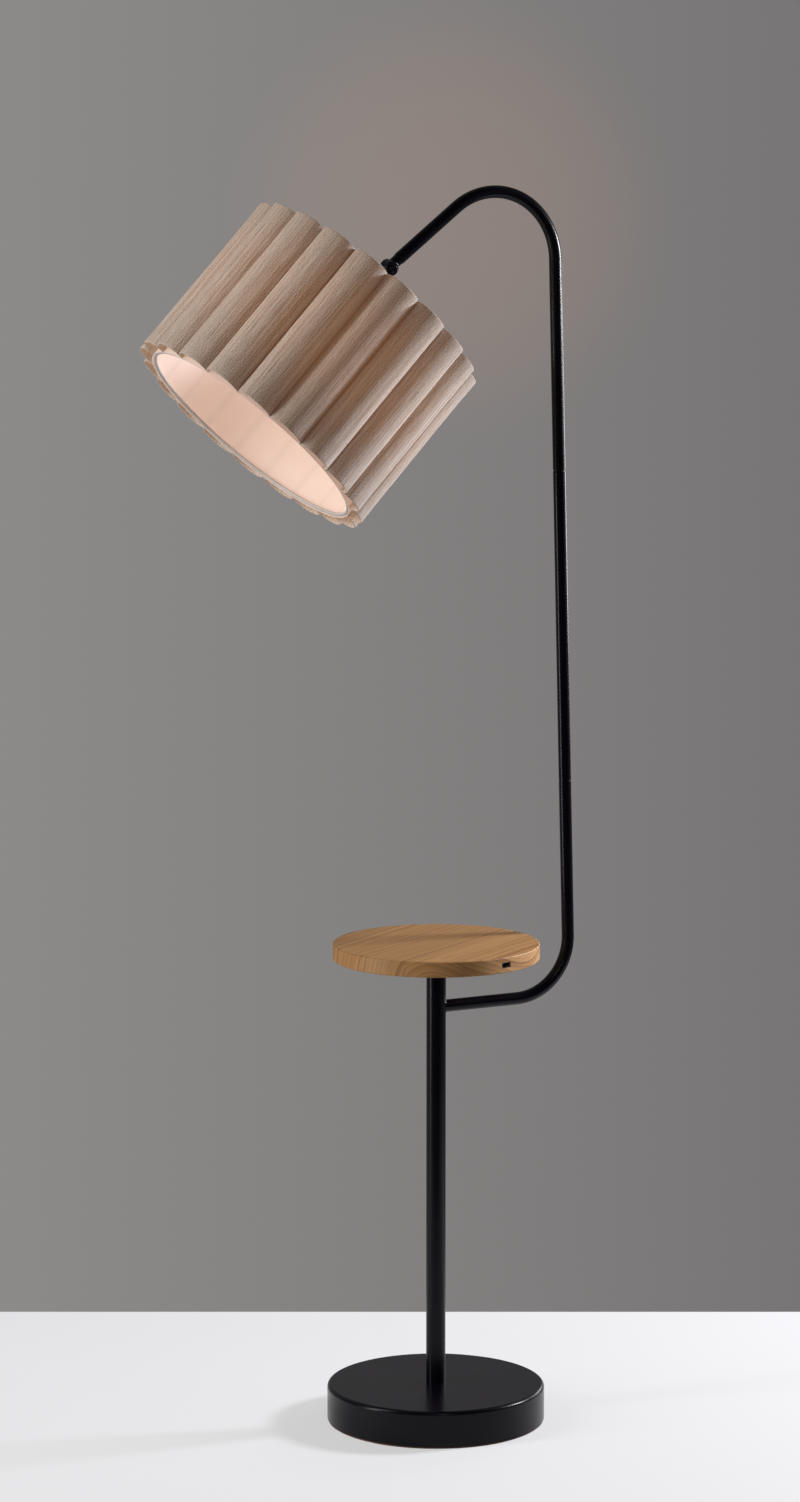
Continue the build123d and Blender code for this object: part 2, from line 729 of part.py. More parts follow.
# Ring nut that clamps the shade's fitter to the shoulder
fitter_at = shoulder_at + shoulder_thick
ring_nut_r = skirt_dia / 2 + ring_nut_wall
with BuildPart() as shade_ring_nut:
    with BuildSketch(head.offset(fitter_at + fitter_thick)):
        Circle(ring_nut_r)
        Circle(skirt_dia / 2 + push_fit, mode=Mode.SUBTRACT)
        with PolarLocations(ring_nut_r, ring_nut_grips):
            Circle(ring_nut_grip_dia / 2, mode=Mode.SUBTRACT)
    extrude(amount=ring_nut_thick)
shade_ring_nut.part.label = "shade_ring_nut"

# Wire frame of the shade: fitter with spokes and upper ring, and the lower ring
shade_drop = fitter_at - fitter_recess
fitter_r = ring_nut_r + fitter_lap
liner_bore = liner_dia - 2 * liner_thick
wire_ring_r = liner_bore / 2 - push_fit - wire_dia / 2
upper_ring_at = shade_drop + ring_inset + wire_dia / 2
lower_ring_at = shade_drop + shade_height - ring_inset - wire_dia / 2
spoke_start = Vector(fitter_r - spoke_dia / 2, 0, fitter_at + fitter_thick / 2)
spoke_end = Vector(wire_ring_r, 0, upper_ring_at)
with BuildPart() as shade_fitter:
    add_tube(head.offset(fitter_at), 2 * fitter_r, skirt_dia + 2 * slip, fitter_thick)
    with BuildSketch(bulb_side):
        with Locations((wire_ring_r, upper_ring_at)):
            Circle(wire_dia / 2)
    revolve(axis=head_axis)
    for spoke in range(spoke_count):
        turn = spoke_turn + spoke * 360 / spoke_count
        spoke_from = head.from_local_coords(spoke_start.rotate(Axis.Z, turn))
        spoke_to = head.from_local_coords(spoke_end.rotate(Axis.Z, turn))
        with BuildSketch(Plane(origin=spoke_from, z_dir=spoke_to - spoke_from)):
            Circle(spoke_dia / 2)
        extrude(amount=(spoke_to - spoke_from).length)
shade_fitter.part.label = "shade_fitter"

with BuildPart() as shade_lower_ring:
    with BuildSketch(bulb_side):
        with Locations((wire_ring_r, lower_ring_at)):
            Circle(wire_dia / 2)
    revolve(axis=head_axis)
shade_lower_ring.part.label = "shade_lower_ring"

# Liner drum and the fluted fabric glued to it along the valleys
shade_edge = head.offset(shade_drop)
with BuildPart() as shade_liner:
    add_tube(shade_edge, liner_dia, liner_bore, shade_height)
shade_liner.part.label = "shade_liner"

crest = liner_dia / 2 + flute_height
crest_inner = crest - fabric_thick
valley_inner = liner_dia / 2 + glue_gap
valley_chord = valley_inner * cos(radians(180 / flute_count))
flute_centre = (crest_inner**2 - valley_inner**2) / (2 * (crest_inner - valley_chord))
flute_r = crest - flute_centre
with BuildPart() as shade_fabric:
    with BuildSketch(shade_edge):
        Circle(flute_centre)
        with PolarLocations(flute_centre, flute_count, flute_turn):
            Circle(flute_r)
        Circle(flute_centre, mode=Mode.SUBTRACT)
        with PolarLocations(flute_centre, flute_count, flute_turn):
            Circle(flute_r - fabric_thick, mode=Mode.SUBTRACT)
    extrude(amount=shade_height)
shade_fabric.part.label = "shade_fabric"

pieces = [
    base_shell,
    base_weight,
    base_pad,
    base_washer,
    base_nut,
    base_nipple,
    cord_bushing,
    post_plug,
    post,
    shelf_plate,
    shelf_screws,
    shelf,
    usb_shell,
    usb_tongue,
    usb_board,
    usb_cover,
    usb_cover_screws,
    lower_arm,
    couplings,
    middle_arm,
    upper_arm,
    arm_end_bush,
    swivel_upper,
    swivel_clip,
    swivel_lower,
    pivot_washer,
    pivot_screw,
    pivot_nut,
    socket_cap,
    socket_rod,
    socket_nut,
    socket_body,
    socket_screw_shell,
    socket_contact,
    switch_shaft,
    switch_knob,
    bulb_cap,
    bulb_globe,
    shade_ring_nut,
    shade_fitter,
    shade_lower_ring,
    shade_liner,
    shade_fabric,
]
for piece in pieces:
    export_step(piece.part, f"parts/{piece.part.label}.step")
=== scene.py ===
"""Looks of a floor lamp with a round wooden shelf, a hooked side arm and a fluted linen shade."""

import math

import bpy
import numpy as np
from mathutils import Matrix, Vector


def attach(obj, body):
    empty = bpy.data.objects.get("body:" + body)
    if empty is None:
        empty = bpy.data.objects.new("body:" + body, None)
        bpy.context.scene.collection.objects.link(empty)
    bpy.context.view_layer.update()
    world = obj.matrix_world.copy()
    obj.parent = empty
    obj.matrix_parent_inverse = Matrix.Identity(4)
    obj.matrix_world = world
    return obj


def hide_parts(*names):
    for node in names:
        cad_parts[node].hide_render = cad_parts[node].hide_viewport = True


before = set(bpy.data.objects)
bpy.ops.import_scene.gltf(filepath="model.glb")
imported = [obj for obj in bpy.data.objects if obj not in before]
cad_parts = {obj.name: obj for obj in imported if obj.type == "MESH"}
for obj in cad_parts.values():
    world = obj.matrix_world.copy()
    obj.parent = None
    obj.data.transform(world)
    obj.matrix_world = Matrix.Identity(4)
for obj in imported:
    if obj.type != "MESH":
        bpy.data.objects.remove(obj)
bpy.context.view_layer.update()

# Base: a spun steel shell over a cast weight, with a pad of brown felt glued below.
# The shell, post, arm and swivel share one satin black powder coat, baked on,
# with a fine orange peel and edges painted a little paler, as wear and as a painted highlight.


def add_node(tree, kind, sockets=None, **settings):
    """Adds a shader node; a socket takes another node's output or a plain value."""
    node = tree.nodes.new("ShaderNode" + kind)
    for name, value in settings.items():
        setattr(node, name, value)
    for name, value in (sockets or {}).items():
        if isinstance(value, bpy.types.NodeSocket):
            tree.links.new(value, node.inputs[name])
        else:
            node.inputs[name].default_value = value
    return node


def math_node(tree, operation, *values):
    """Adds a Math node and gives its result."""
    return add_node(tree, "Math", dict(enumerate(values)), operation=operation).outputs[0]


def dot(tree, vector, other):
    """Adds a dot product and gives its value."""
    sockets = {0: vector, 1: other}
    return add_node(tree, "VectorMath", sockets, operation="DOT_PRODUCT").outputs["Value"]


def remap(tree, value, low, high, to_low=0.0, to_high=1.0, **settings):
    """Adds a Map Range node, held at its ends, and gives its result."""
    sockets = {"Value": value, "From Min": low, "From Max": high}
    sockets.update({"To Min": to_low, "To Max": to_high})
    return add_node(tree, "MapRange", sockets, **settings).outputs[0]


def mix_colours(tree, share, colour, other_colour, **settings):
    """Adds a colour mix and gives its result."""
    sockets = {"Fac": share, "Color1": colour, "Color2": other_colour}
    return add_node(tree, "MixRGB", sockets, **settings).outputs[0]


def noise(tree, place, scale, detail):
    """Adds a noise texture and gives its value."""
    sockets = {"Vector": place, "Scale": scale, "Detail": detail}
    return add_node(tree, "TexNoise", sockets).outputs[0]


def new_group(name, inputs, outputs):
    """Starts a node group with named sockets: its tree, its inputs, and its output node."""
    tree = bpy.data.node_groups.new(name, "ShaderNodeTree")
    for label, (kind, value) in inputs.items():
        socket = tree.interface.new_socket(label, in_out="INPUT", socket_type="NodeSocket" + kind)
        if value is not None:
            socket.default_value = value
    for label, kind in outputs.items():
        tree.interface.new_socket(label, in_out="OUTPUT", socket_type="NodeSocket" + kind)
    return tree, tree.nodes.new("NodeGroupInput").outputs, tree.nodes.new("NodeGroupOutput")


def use_group(tree, group, sockets):
    """Places a node group in a material and gives its outputs."""
    return add_node(tree, "Group", sockets, node_tree=group).outputs


def new_material(name, **plain):
    """Starts a material: its tree, its Principled shader, and the place on the piece."""
    material = bpy.data.materials.new(name)
    material.use_nodes = True
    tree = material.node_tree
    shader = tree.nodes["Principled BSDF"]
    for socket, value in plain.items():
        shader.inputs[socket.replace("_", " ")].default_value = value
    place = add_node(tree, "TexCoord").outputs["Object"]
    return material, tree, shader, place


def set_bump(tree, shader, height, strength, distance, normal=None):
    """Feeds a height to the shader's Normal through a Bump node."""
    sockets = {"Height": height, "Strength": strength, "Distance": distance}
    if normal is not None:
        sockets["Normal"] = normal
    bump = add_node(tree, "Bump", sockets)
    tree.links.new(bump.outputs["Normal"], shader.inputs["Normal"])


def dress(material, *names):
    """Gives CAD nodes their finish."""
    for name in names:
        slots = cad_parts[name].data.materials
        slots.clear()
        slots.append(material)


def new_piece(name, points, faces, material, sharp_degrees=None):
    """Makes a smooth mesh piece, sharp at edges that turn by more than an angle."""
    mesh = bpy.data.meshes.new(name)
    mesh.from_pydata([tuple(point) for point in points], [], faces)
    mesh.polygons.foreach_set("use_smooth", [True] * len(faces))
    if sharp_degrees is not None:
        mesh.set_sharp_from_angle(angle=math.radians(sharp_degrees))
    mesh.materials.append(material)
    piece = bpy.data.objects.new(name, mesh)
    bpy.context.scene.collection.objects.link(piece)
    return piece


# uneven finish: broad colour drift, uneven gloss and a fine skin
uneven_finish, given, result = new_group(
    "uneven finish",
    {
        "Place": ("Vector", None),
        "Broad size": ("Float", 0.05),
        "Fine size": ("Float", 0.001),
        "Colour": ("Color", (0.5, 0.5, 0.5, 1)),
        "Other colour": ("Color", (0.4, 0.4, 0.4, 1)),
        "Roughness": ("Float", 0.5),
        "Roughness spread": ("Float", 0.1),
    },
    {"Colour": "Color", "Roughness": "Float", "Height": "Float"},
)
broad_scale = math_node(uneven_finish, "DIVIDE", 1.0, given["Broad size"])
fine_scale = math_node(uneven_finish, "DIVIDE", 1.0, given["Fine size"])
broad_noise = noise(uneven_finish, given["Place"], broad_scale, detail=4.0)
fine_noise = noise(uneven_finish, given["Place"], fine_scale, detail=2.0)
drift = remap(uneven_finish, broad_noise, 0.3, 0.7)
tint = mix_colours(uneven_finish, drift, given["Colour"], given["Other colour"])
centred = math_node(uneven_finish, "SUBTRACT", drift, 0.5)
gloss = math_node(
    uneven_finish, "MULTIPLY_ADD", centred, given["Roughness spread"], given["Roughness"]
)
uneven_finish.links.new(tint, result.inputs["Colour"])
uneven_finish.links.new(gloss, result.inputs["Roughness"])
uneven_finish.links.new(fine_noise, result.inputs["Height"])

# rub and glint on edges: a mask on edges, from the difference between a rounded normal and the
# true one; it paints edges paler, as wear and as a painted highlight
edge_rub_and_glint, given, result = new_group(
    "edge rub and glint",
    {"Place": ("Vector", None), "Reach": ("Float", 0.001)},
    {"Mask": "Float", "Normal": "Vector"},
)
rounded = add_node(edge_rub_and_glint, "Bevel", {"Radius": given["Reach"]}, samples=6).outputs[0]
true_normal = add_node(edge_rub_and_glint, "NewGeometry").outputs["Normal"]
edge_share = remap(edge_rub_and_glint, dot(edge_rub_and_glint, rounded, true_normal), 0.97, 0.85)
patches = noise(edge_rub_and_glint, given["Place"], scale=140.0, detail=3.0)
patchy = remap(edge_rub_and_glint, patches, 0.4, 0.6)
edge_rub_and_glint.links.new(math_node(edge_rub_and_glint, "MULTIPLY", edge_share, patchy), result.inputs["Mask"])
edge_rub_and_glint.links.new(rounded, result.inputs["Normal"])


def lay_finish(tree, shader, place, broad, fine, colour, other_colour, roughness, spread):
    """Lays the uneven finish on a material and gives the group's outputs."""
    sockets = {"Place": place, "Broad size": broad, "Fine size": fine}
    sockets.update({"Colour": (*colour, 1), "Other colour": (*other_colour, 1)})
    sockets.update({"Roughness": roughness, "Roughness spread": spread})
    finish = use_group(tree, uneven_finish, sockets)
    tree.links.new(finish["Colour"], shader.inputs["Base Color"])
    tree.links.new(finish["Roughness"], shader.inputs["Roughness"])
    return finish


def pale_edges_rub_and_glint(tree, shader, place, colour, rub_and_glint_colour, reach):
    """Paints a finish paler along its edges, as wear and as a painted highlight, and gives the
    rounded normal.
    """
    rub = use_group(tree, edge_rub_and_glint, {"Place": place, "Reach": reach})
    paler = mix_colours(tree, rub["Mask"], colour, rub_and_glint_colour)
    tree.links.new(paler, shader.inputs["Base Color"])
    return rub["Normal"]


black_paint, tree, shader, place = new_material("satin black paint", Specular_IOR_Level=0.16)
coat = lay_finish(
    tree,
    shader,
    place,
    broad=0.07,
    fine=0.0011,
    colour=(0.0014, 0.0008, 0.0032),
    other_colour=(0.0022, 0.0016, 0.0042),
    roughness=0.25,
    spread=0.05,
)
# edges painted paler than the coat, as wear and as a painted highlight
rub_and_glint_paint = (0.022, 0.0215, 0.022, 1)
pale_edges_rub_and_glint(tree, shader, place, coat["Colour"], rub_and_glint_paint, reach=0.0008)
set_bump(tree, shader, coat["Height"], strength=0.004, distance=0.0002)
dress(black_paint, "base_shell")

felt, tree, shader, place = new_material("pressed brown felt", Sheen_Weight=0.3)
pile = lay_finish(
    tree,
    shader,
    place,
    broad=0.004,
    fine=0.0005,
    colour=(0.190, 0.078, 0.058),
    other_colour=(0.125, 0.050, 0.038),
    roughness=0.93,
    spread=0.06,
)
set_bump(tree, shader, pile["Height"], strength=0.8, distance=0.0008)

felt_r = 0.1389
felt_thick = 0.0040
felt_round = 0.0006
felt_steps = 240
lip_high = 0.0022
lip_from = 0.135
shell_in = 0.1315
cut_uneven = 0.0002
felt_profile = [
    (0.0, 0.0),
    (0.046, 0.0),
    (0.092, 0.0),
    (felt_r - felt_round, 0.0),
    (felt_r, 0.0005),
    (felt_r, 0.0017),
    (felt_r - felt_round, lip_high),
    (shell_in + 0.0007, lip_high + 0.0001),
    (shell_in, 0.0029),
    (shell_in - 0.0002, felt_thick),
    (0.092, felt_thick),
    (0.046, felt_thick),
    (0.0, felt_thick),
]
felt_points = [(0.0, 0.0, 0.0), (0.0, 0.0, felt_thick)]
for r, z in felt_profile[1:-1]:
    for step in range(felt_steps):
        a = math.tau * step / felt_steps
        cut = math.sin(7 * a) + 0.6 * math.sin(17 * a + 1) + 0.5 * math.sin(41 * a + 2)
        wide = r + (cut_uneven * cut if r > lip_from else 0.0)
        felt_points.append((wide * math.cos(a), wide * math.sin(a), z))
felt_faces = []
last_ring = 2 + (len(felt_profile) - 3) * felt_steps
for step in range(felt_steps):
    beside = (step + 1) % felt_steps
    felt_faces.append((0, 2 + beside, 2 + step))
    felt_faces.append((1, last_ring + step, last_ring + beside))
    for ring in range(2, last_ring, felt_steps):
        above = ring + felt_steps
        felt_faces.append((ring + step, ring + beside, above + beside, above + step))
felt_pad = new_piece("felt_pad", felt_points, felt_faces, felt, sharp_degrees=40)
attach(felt_pad, "stand")
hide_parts("base_pad")

cast_iron, tree, shader, place = new_material("rough casting", Metallic=0.7)
skin = lay_finish(
    tree,
    shader,
    place,
    broad=0.02,
    fine=0.0016,
    colour=(0.085, 0.083, 0.080),
    other_colour=(0.12, 0.105, 0.09),
    roughness=0.72,
    spread=0.2,
)
set_bump(tree, shader, skin["Height"], strength=0.6, distance=0.0008)
dress(cast_iron, "base_weight")

zinc, tree, shader, place = new_material("zinc plated steel", Metallic=1.0)
plating = lay_finish(
    tree,
    shader,
    place,
    broad=0.008,
    fine=0.0006,
    colour=(0.60, 0.60, 0.62),
    other_colour=(0.52, 0.53, 0.50),
    roughness=0.34,
    spread=0.14,
)
set_bump(tree, shader, plating["Height"], strength=0.15, distance=0.0002)
dress(zinc, "base_washer", "base_nut", "base_nipple", "post_plug")

rubber, tree, shader, place = new_material("black rubber")
moulding = lay_finish(
    tree,
    shader,
    place,
    broad=0.006,
    fine=0.0007,
    colour=(0.016, 0.016, 0.016),
    other_colour=(0.024, 0.023, 0.022),
    roughness=0.66,
    spread=0.12,
)
set_bump(tree, shader, moulding["Height"], strength=0.2, distance=0.0002)
dress(rubber, "cord_bushing")

# Post: a straight steel tube, screwed down on the base, with a plate welded to its top.
# The arm enters it through a hole in its side; both joints have a small bead of weld.
post_r = 0.0125
arm_r = 0.008
arm_z = 0.542
plate_z = 0.602
bead_r = 0.0009
bead_sides = 10
bead_steps = 96
bead_ripples = 24
ripple_height = 0.10


def weld_bead(name, line):
    """Lays a rippled bead along a closed line of points, as a ring-shaped mesh."""
    points = np.array(line)
    ahead = np.roll(points, -1, axis=0) - np.roll(points, 1, axis=0)
    ahead /= np.linalg.norm(ahead, axis=1)[:, None]
    out = points - points.mean(axis=0)
    out -= (out * ahead).sum(axis=1)[:, None] * ahead
    out /= np.linalg.norm(out, axis=1)[:, None]
    side = np.cross(ahead, out)
    corners, faces = [], []
    for step, point in enumerate(points):
        ripple = math.sin(step * math.tau * bead_ripples / len(points))
        thick = bead_r * (1 + ripple_height * ripple)
        here = step * bead_sides
        after = (step + 1) % len(points) * bead_sides
        for corner in range(bead_sides):
            turn = math.tau * corner / bead_sides
            spoke = math.cos(turn) * out[step] + math.sin(turn) * side[step]
            corners.append(point + thick * spoke)
            beside = (corner + 1) % bead_sides
            faces.append((here + corner, here + beside, after + beside, after + corner))
    bead = new_piece(name, corners, faces, black_paint)
    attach(bead, "stand")


turns = [math.tau * step / bead_steps for step in range(bead_steps)]
arm_line = [
    (
        math.sqrt(post_r**2 - (arm_r * math.cos(a)) ** 2),
        arm_r * math.cos(a),
        arm_z + arm_r * math.sin(a),
    )
    for a in turns
]
weld_bead("arm_weld", arm_line)
weld_bead("post_weld", [(post_r * math.cos(a), post_r * math.sin(a), plate_z) for a in turns])
dress(black_paint, "post", "shelf_plate")

# Shelf: a disc turned from boards of a pale brown wood that were glued edge to edge.
# The fibres run towards the front, so the rim shows end grain there. Satin oil finish.
board_wide = 0.064
board_start = 0.53
fibre_turn = math.radians(58)
ring_pitch = 0.0064
ring_bend = 0.030
year_uneven = 2.4
pith_across = 0.060
pith_across_spread = 0.026
pith_high = 0.591
pith_high_spread = -0.016
bend_stretch = (9.0, 2.2, 9.0)
fibre_stretch = (700.0, 14.0, 700.0)
board_step = 0.05
pale_wood = (0.510, 0.285, 0.104, 1)
warm_wood = (0.385, 0.182, 0.054, 1)
late_wood = (0.180, 0.066, 0.016, 1)
even_wood = (0.425, 0.218, 0.072, 1)
pore_wood = (0.22, 0.105, 0.045, 1)
glue_brown = (0.20, 0.10, 0.045, 1)


def stretch(tree, place, factors):
    """Stretches a place along its axes."""
    return add_node(tree, "VectorMath", {0: place, 1: factors}, operation="MULTIPLY").outputs[0]


def scale_colour(tree, colour, factor):
    """Makes a colour lighter or darker by a factor."""
    return add_node(
        tree, "VectorMath", {0: colour, "Scale": factor}, operation="SCALE"
    ).outputs[0]


def chance(tree, number):
    """Adds a white noise texture: one chance value and colour for each number."""
    return add_node(tree, "TexWhiteNoise", {"W": number}, noise_dimensions="1D").outputs


def colour_ramp(tree, share, *stops):
    """Adds a colour ramp with stops in order and gives its colour."""
    node = add_node(tree, "ValToRGB", {"Fac": share})
    elements = node.color_ramp.elements
    elements[0].position, elements[0].color = stops[0]
    elements[1].position, elements[1].color = stops[-1]
    for position, colour in stops[1:-1]:
        elements.new(position).color = colour
    return node.outputs[0]


wood, tree, shader, place = new_material("oiled pale wood", Coat_Weight=0.06, Coat_Roughness=0.45)
turned = add_node(
    tree, "Mapping", {"Vector": place, "Rotation": (0, 0, fibre_turn)}, vector_type="POINT"
).outputs[0]
axes = add_node(tree, "SeparateXYZ", {0: turned}).outputs
counted = math_node(tree, "MULTIPLY_ADD", axes["X"], 1 / board_wide, board_start)
board = math_node(tree, "FLOOR", counted)
chances = add_node(tree, "SeparateColor", {0: chance(tree, board)["Color"]}).outputs
pith_x = math_node(tree, "MULTIPLY_ADD", chances["Red"], pith_across_spread, pith_across)
pith_z = math_node(tree, "MULTIPLY_ADD", chances["Green"], pith_high_spread, pith_high)
bend = noise(tree, stretch(tree, turned, bend_stretch), scale=1.0, detail=3.0)
from_x = math_node(tree, "SUBTRACT", axes["X"], pith_x)
from_z = math_node(tree, "SUBTRACT", axes["Z"], pith_z)
high_square = math_node(tree, "MULTIPLY", from_z, from_z)
radius = math_node(tree, "SQRT", math_node(tree, "MULTIPLY_ADD", from_x, from_x, high_square))
wavy = math_node(tree, "MULTIPLY_ADD", bend, ring_bend, radius)
even_years = math_node(tree, "DIVIDE", wavy, ring_pitch)
growth = add_node(
    tree, "TexNoise", {"W": even_years, "Scale": 0.6, "Detail": 2.0}, noise_dimensions="1D"
).outputs[0]
years = math_node(tree, "MULTIPLY_ADD", growth, year_uneven, even_years)
rings = colour_ramp(
    tree,
    math_node(tree, "FRACT", years),
    (0.0, pale_wood),
    (0.55, warm_wood),
    (0.86, late_wood),
    (0.93, warm_wood),
    (1.0, pale_wood),
)
year_chance = chance(tree, math_node(tree, "FLOOR", years))["Value"]
faint_year = remap(tree, year_chance, 0.0, 1.0, to_low=0.20, to_high=0.85)
pores = noise(tree, stretch(tree, turned, fibre_stretch), scale=1.0, detail=2.0)
pore_mask = remap(tree, pores, 0.52, 0.72, to_high=0.42)
pored = mix_colours(tree, pore_mask, rings, pore_wood)
soft_rings = mix_colours(tree, faint_year, pored, even_wood)
tree_tint = remap(tree, chances["Blue"], 0.0, 1.0, to_low=0.92, to_high=1.04)
board_tint = math_node(tree, "MULTIPLY_ADD", board, board_step, tree_tint)
tinted = scale_colour(tree, soft_rings, board_tint)
across = math_node(tree, "FRACT", counted)
edge_near = math_node(tree, "ABSOLUTE", math_node(tree, "SUBTRACT", across, 0.5))
glue_line = remap(tree, edge_near, 0.492, 0.498, to_high=0.35)
glued = mix_colours(tree, glue_line, tinted, glue_brown)
tree.links.new(glued, shader.inputs["Base Color"])
wood_gloss = remap(tree, pores, 0.3, 0.7, to_low=0.50, to_high=0.66)
tree.links.new(wood_gloss, shader.inputs["Roughness"])
rub = use_group(tree, edge_rub_and_glint, {"Place": place, "Reach": 0.0008})
set_bump(tree, shader, pores, strength=0.16, distance=0.0004, normal=rub["Normal"])
dress(wood, "shelf")
dress(zinc, "shelf_screws", "usb_cover_screws")

# Charging port: a folded steel shell with a black tongue, on a small board in a pocket.
# The pocket is closed from below by a moulded black cover with two screws.
port_steel, tree, shader, place = new_material("bright port steel", Metallic=1.0)
pressed = lay_finish(
    tree,
    shader,
    place,
    broad=0.004,
    fine=0.0003,
    colour=(0.70, 0.70, 0.71),
    other_colour=(0.61, 0.61, 0.63),
    roughness=0.24,
    spread=0.12,
)
set_bump(tree, shader, pressed["Height"], strength=0.1, distance=0.0001)
dress(port_steel, "usb_shell")

black_moulding, tree, shader, place = new_material("black moulding")
grained = lay_finish(
    tree,
    shader,
    place,
    broad=0.012,
    fine=0.0005,
    colour=(0.022, 0.022, 0.023),
    other_colour=(0.032, 0.031, 0.031),
    roughness=0.52,
    spread=0.12,
)
set_bump(tree, shader, grained["Height"], strength=0.35, distance=0.0002)
dress(black_moulding, "usb_tongue", "usb_cover")

laminate, tree, shader, place = new_material("green laminate", Coat_Weight=0.3)
weave = lay_finish(
    tree,
    shader,
    place,
    broad=0.003,
    fine=0.0006,
    colour=(0.012, 0.105, 0.042),
    other_colour=(0.020, 0.150, 0.066),
    roughness=0.38,
    spread=0.1,
)
set_bump(tree, shader, weave["Height"], strength=0.2, distance=0.0001)
dress(laminate, "usb_board")

# Arm: three steel tubes, the outer two bent, screwed together over inner couplings
# at two dark seams. The bush in the tip of the hook carries the swivel's stem.
dress(black_paint, "lower_arm", "middle_arm", "upper_arm", "couplings", "arm_end_bush")

# Swivel: two half knuckles side by side on a screw, so that the shade tilts.
# The stem of the upper half turns in the arm's tip, held by a spring clip.
dress(black_paint, "swivel_upper", "swivel_lower", "pivot_screw", "pivot_nut")
dress(zinc, "swivel_clip", "pivot_washer")

# Lampholder: a painted cap on a threaded rod, a body of black thermoset with a threaded skirt,
# and a brass screw shell and centre contact inside. A ring nut clamps the shade to it.
thermoset, tree, shader, place = new_material("black thermoset")
glossy = lay_finish(
    tree,
    shader,
    place,
    broad=0.015,
    fine=0.0009,
    colour=(0.014, 0.013, 0.013),
    other_colour=(0.021, 0.019, 0.018),
    roughness=0.24,
    spread=0.1,
)
# the thermoset's edges are painted paler too, as wear and as a painted highlight
rub_and_glint_thermoset = (0.05, 0.047, 0.045, 1)
softened = pale_edges_rub_and_glint(tree, shader, place, glossy["Colour"], rub_and_glint_thermoset, reach=0.0005)
set_bump(tree, shader, glossy["Height"], strength=0.08, distance=0.0002, normal=softened)

brass, tree, shader, place = new_material("stamped brass", Metallic=1.0)
stamped = lay_finish(
    tree,
    shader,
    place,
    broad=0.006,
    fine=0.0006,
    colour=(0.74, 0.53, 0.22),
    other_colour=(0.60, 0.40, 0.15),
    roughness=0.30,
    spread=0.16,
)
set_bump(tree, shader, stamped["Height"], strength=0.12, distance=0.0002)

dress(black_paint, "socket_cap")
dress(zinc, "socket_rod", "socket_nut")
dress(thermoset, "socket_body", "shade_ring_nut")
dress(brass, "socket_screw_shell", "socket_contact")

# Turn switch: a brass shaft through the side of the holder's cap, with a fluted knob of
# black thermoset pressed on its end. It has no stops and turns on and on.
dress(brass, "switch_shaft")
dress(thermoset, "switch_knob")

# Bulb: a frosted glass globe on a pressed aluminium cap, screwed into the holder and lit.
# The light inside it shines on the shade's liner and moves with the shade.
shade_origin = Vector((-0.0668286, 0.0, 1.48374))
shade_x = Vector((-0.723077, -0.198233, 0.661712))
shade_y = Vector((-0.122937, 0.979575, 0.159119))
shade_down = Vector((-0.67974, 0.033707, -0.732679))
globe_middle = 0.150
bulb_power = 0.072
bulb_size = 0.02
bulb_colour = (1.0, 0.70, 0.53)
warm_glass = (1.0, 0.86, 0.70, 1)

aluminium, tree, shader, place = new_material("pressed aluminium", Metallic=1.0)
rolled = lay_finish(
    tree,
    shader,
    place,
    broad=0.005,
    fine=0.0005,
    colour=(0.80, 0.80, 0.80),
    other_colour=(0.70, 0.70, 0.70),
    roughness=0.26,
    spread=0.14,
)
set_bump(tree, shader, rolled["Height"], strength=0.12, distance=0.0002)
dress(aluminium, "bulb_cap")

frosted, tree, shader, place = new_material("frosted glass, lit", Emission_Strength=0.62)
etched = lay_finish(
    tree,
    shader,
    place,
    broad=0.03,
    fine=0.0008,
    colour=(0.90, 0.86, 0.80),
    other_colour=(0.84, 0.79, 0.73),
    roughness=0.42,
    spread=0.1,
)
glow = mix_colours(tree, 1.0, etched["Colour"], warm_glass, blend_type="MULTIPLY")
tree.links.new(glow, shader.inputs["Emission Color"])
set_bump(tree, shader, etched["Height"], strength=0.1, distance=0.0002)
dress(frosted, "bulb_globe")
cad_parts["bulb_globe"].visible_shadow = False

bulb_light = bpy.data.objects.new("bulb_light", bpy.data.lights.new("bulb_light", "POINT"))
bulb_light.data.energy = bulb_power
bulb_light.data.color = bulb_colour
bulb_light.data.shadow_soft_size = bulb_size
bulb_light.location = shade_origin + shade_down * globe_middle
bpy.context.scene.collection.objects.link(bulb_light)
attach(bulb_light, "head")

# Shade frame: steel wire rings at both edges of the shade, with three spokes from the upper
# one to a pressed washer under the ring nut, all dipped in one white coat.
white_coat, tree, shader, place = new_material("white coated wire")
coated = lay_finish(
    tree,
    shader,
    place,
    broad=0.012,
    fine=0.0009,
    colour=(0.56, 0.545, 0.525),
    other_colour=(0.49, 0.475, 0.455),
    roughness=0.42,
    spread=0.12,
)
set_bump(tree, shader, coated["Height"], strength=0.15, distance=0.0002)
dress(white_coat, "shade_fitter", "shade_lower_ring")

# Liner: a drum of translucent white plastic film, wrapped round the two rings and glued.
# Its light from the bulb inside is a painted peach glow, weaker on its outer face, and a painted
# shade makes it a little darker where the fabric's valleys touch it.
flutes = 20
first_crest = math.radians(5.5)
shade_top = 0.0482
shade_height = 0.2286
liner_in = 0.1542
liner_out = 0.155
liner_middle = 0.5 * (liner_in + liner_out)
painted_peach_glow = (1.0, 0.63, 0.49)
outer_glow = 0.80
touching_shade = 0.94

